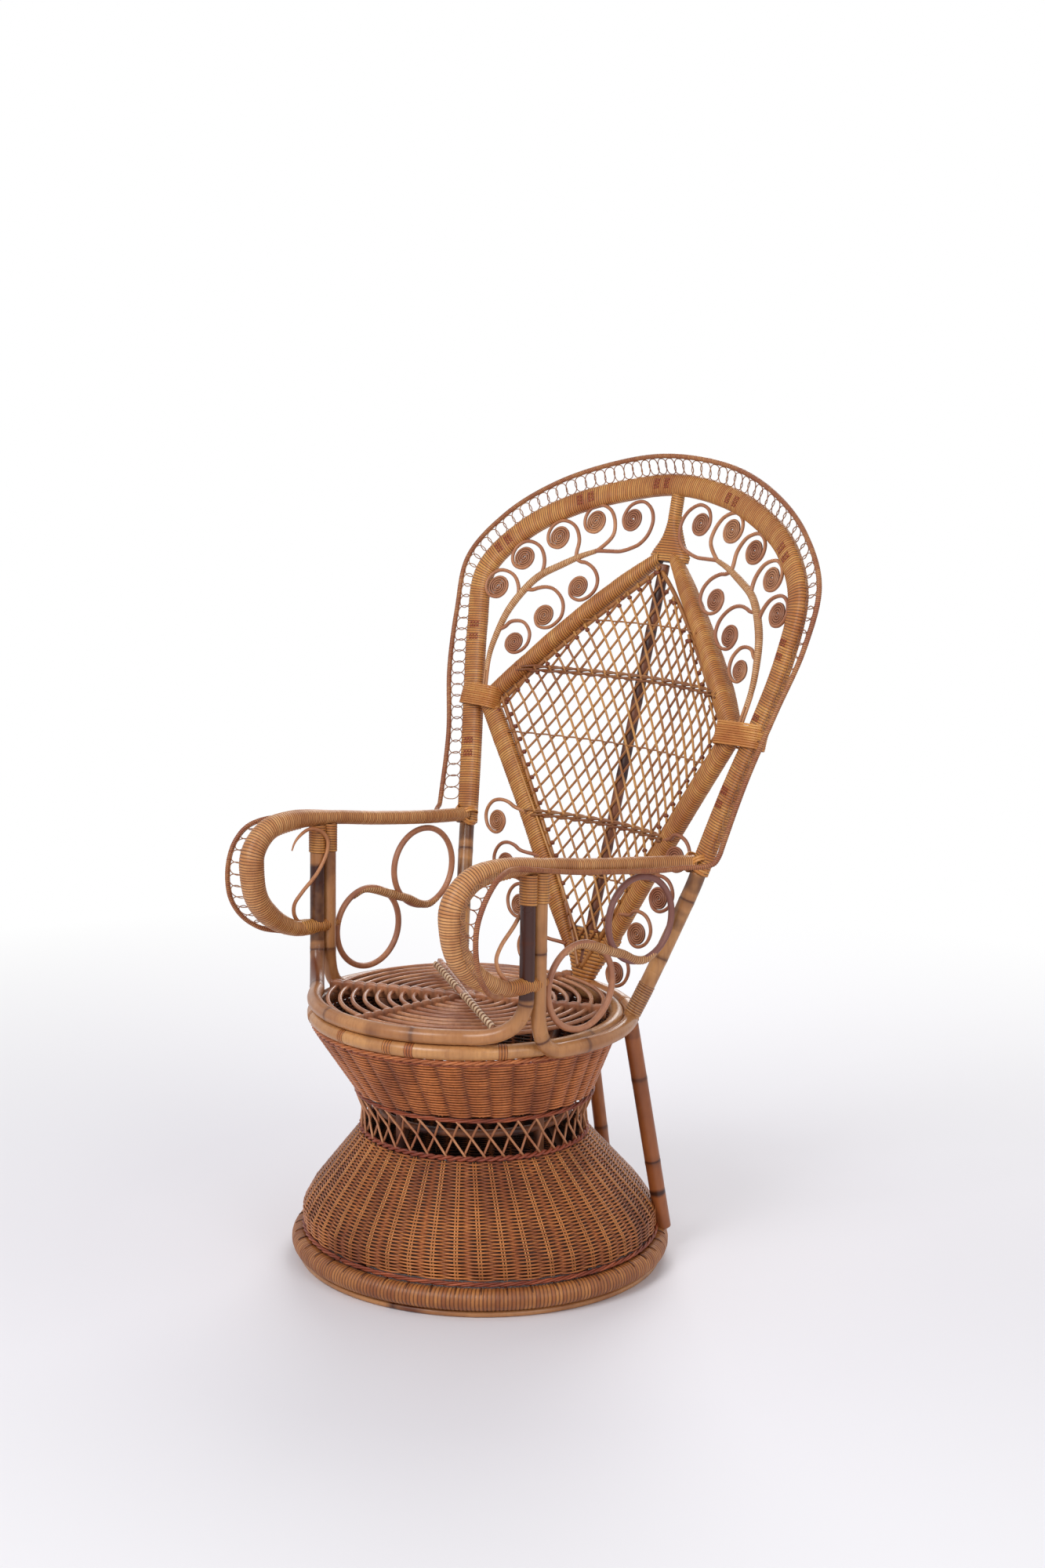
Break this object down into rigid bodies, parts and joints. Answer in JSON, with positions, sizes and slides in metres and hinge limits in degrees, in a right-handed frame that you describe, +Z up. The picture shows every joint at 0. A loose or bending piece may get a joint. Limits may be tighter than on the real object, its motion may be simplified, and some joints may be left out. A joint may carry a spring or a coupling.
{
  "type": "peacock chair",
  "caption": "Rattan armchair with a tall rounded open back with a kite-shaped lattice and scrolls, curled arms, round rod seat and woven hourglass drum base.",
  "frame": {"origin": "on the floor, under the middle of the chair's bounding box", "axes": "+Z up, -Y towards the front of the seat, +X towards the right as seen from the front"},
  "size_m": [0.8112, 0.728, 1.2583],
  "materials": {
    "cane": "golden brown cane strip wound round the poles, satin varnish",
    "pole": "honey rattan pole with dark nodes and scorch marks, varnished",
    "rod": "thin brown rattan core rod, satin varnish",
    "weave": "woven reddish brown rattan core, varnished",
    "plait": "dark red-brown twined rattan core"
  },
  "bodies": {
    "root": {"floor_hoop": "cane", "rim_hoop": "cane", "foot_plait": "plait", "lower_waist_plait": "plait", "waist_lattice": "rod", "upper_waist_plait": "plait", "basket_wall": "weave", "basket_plait": "plait", "inner_frame": "pole", "seat_ring": "pole", "front_hoop": "pole", "rear_hoop": "pole", "seat_panel": "rod", "whipped_spar": "rod", "skirt_wall": "weave", "rear_leg_left": "pole", "rear_leg_right": "pole", "rear_leg_centre": "pole", "back_frame": "cane", "kite_frame": "cane", "centre_pole": "pole", "back_lattice": "rod", "edge_cane_lace": "cane", "rear_upright_left": "pole", "side_lashing_left": "cane", "scroll_branch_left": "cane", "arm_left": "cane", "arm_scroll_left": "rod", "arm_hook_left": "rod", "outer_scroll_1_left": "rod", "outer_scroll_2_left": "rod", "outer_scroll_3_left": "rod", "outer_scroll_4_left": "rod", "outer_scroll_5_left": "rod", "inner_scroll_1_left": "rod", "inner_scroll_2_left": "rod", "inner_scroll_3_left": "rod", "lower_scroll_1_left": "rod", "lower_scroll_2_left": "rod", "lower_scroll_3_left": "rod", "lower_scroll_4_left": "rod", "rear_upright_right": "pole", "side_lashing_right": "cane", "scroll_branch_right": "cane", "arm_right": "cane", "arm_scroll_right": "rod", "arm_hook_right": "rod", "outer_scroll_1_right": "rod", "outer_scroll_2_right": "rod", "outer_scroll_3_right": "rod", "outer_scroll_4_right": "rod", "outer_scroll_5_right": "rod", "inner_scroll_1_right": "rod", "inner_scroll_2_right": "rod", "inner_scroll_3_right": "rod", "lower_scroll_1_right": "rod", "lower_scroll_2_right": "rod", "lower_scroll_3_right": "rod", "lower_scroll_4_right": "rod"}
  },
  "joints": []
}
